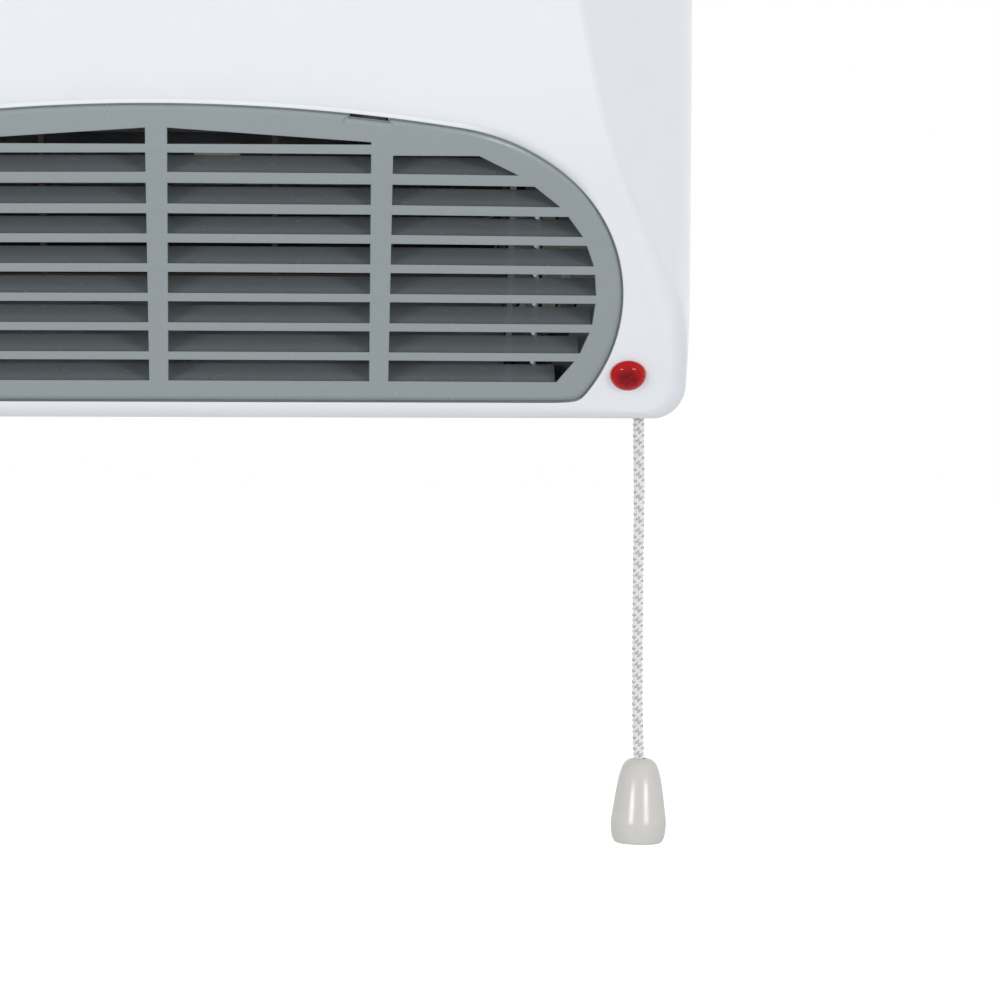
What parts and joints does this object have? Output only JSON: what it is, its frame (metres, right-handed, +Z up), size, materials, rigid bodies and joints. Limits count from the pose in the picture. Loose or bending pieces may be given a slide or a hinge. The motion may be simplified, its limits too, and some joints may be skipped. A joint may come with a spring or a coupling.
{
  "type": "bathroom wall fan heater",
  "caption": "Wall-hung fan heater: white moulded casing with sloping front, grey louvred outlet grille, red indicator and pull cord with knob.",
  "frame": {"origin": "centre of the four wall screw holes, on the wall plane", "axes": "+X to the right seen from the front, +Y into the wall, +Z up"},
  "size_m": [0.279, 0.1266, 0.3184],
  "materials": {
    "white_plastic": "glossy white moulding",
    "grey_plastic": "satin grey moulding",
    "red_lens": "clear red moulding",
    "lamp_glass": "neon bulb in a holder",
    "sheet_steel": "zinc-plated sheet",
    "dark_steel": "lacquered laminations and wheel",
    "screw_steel": "plated screws",
    "bronze": "sintered bush and terminal brass",
    "black_rubber": "moulded rubber",
    "coil_copper": "lacquered winding",
    "mica_board": "mica board",
    "heating_wire": "oxidised resistance wire",
    "cream_plastic": "heat-resistant moulding",
    "black_plastic": "phenolic moulding",
    "red_plastic": "cam moulding",
    "wire_cover": "silicone-covered leads",
    "white_cord": "braided cord with grey fleck",
    "knob_plastic": "off-white translucent moulding"
  },
  "bodies": {
    "chassis": {"front_housing": "white_plastic", "back_plate": "white_plastic", "outlet_grille": "grey_plastic", "housing_screws": "screw_steel", "indicator_lens": "red_lens", "indicator_lamp": "lamp_glass", "indicator_clip": "sheet_steel", "cord_eyelet": "white_plastic", "blower_scroll": "sheet_steel", "blower_tongue": "sheet_steel", "end_plate_left": "sheet_steel", "end_plate_right": "sheet_steel", "chassis_screws": "screw_steel", "bearing_bush": "bronze", "bearing_rubber": "black_rubber", "motor_stator": "dark_steel", "motor_coil": "coil_copper", "motor_bracket_front": "sheet_steel", "motor_bracket_rear": "sheet_steel", "motor_bearings": "bronze", "motor_screws": "screw_steel", "heater_frame": "mica_board", "heater_element": "heating_wire", "thermal_cutout": "black_plastic", "thermal_fuse": "cream_plastic", "terminal_block": "cream_plastic", "terminal_screws": "bronze", "cable_grommet": "black_rubber", "cable_clamp": "cream_plastic", "clamp_screws": "screw_steel", "wiring": "wire_cover", "switch_frame": "cream_plastic", "switch_screws": "screw_steel", "switch_spring": "screw_steel", "switch_pins": "screw_steel"},
    "fan": {"fan_rotor": "dark_steel", "fan_shaft": "screw_steel", "motor_rotor": "sheet_steel"},
    "pull": {"pull_cord": "white_cord", "cord_top_knot": "white_cord", "cord_end_knot": "white_cord", "pull_knob": "knob_plastic"},
    "lever": {"switch_lever": "black_plastic"},
    "cam": {"switch_cam": "red_plastic"}
  },
  "joints": [
    {"name": "fan_spin", "type": "hinge", "parent": "chassis", "child": "fan", "pos_m": [0, -0.05, 0.03], "axis": [1, 0, 0], "continuous": true},
    {"name": "cord_pull", "type": "slide", "parent": "chassis", "child": "pull", "axis": [0, 0, -1], "range_m": [0, 0.008], "stiffness_N_per_m": 300, "springref_m": -0.002},
    {"name": "lever_swing", "type": "hinge", "parent": "chassis", "child": "lever", "pos_m": [0.1074, -0.029, -0.064], "axis": [0, 1, 0], "range_deg": [0, 23.2], "deforming": ["switch_spring"]},
    {"name": "cam_turn", "type": "hinge", "parent": "chassis", "child": "cam", "pos_m": [0.1149, -0.029, -0.0505], "axis": [0, 1, 0], "continuous": true}
  ],
  "couplings": [
    {"joint": "lever_swing", "follows": "cord_pull", "rad_per_m": 50.34}
  ]
}
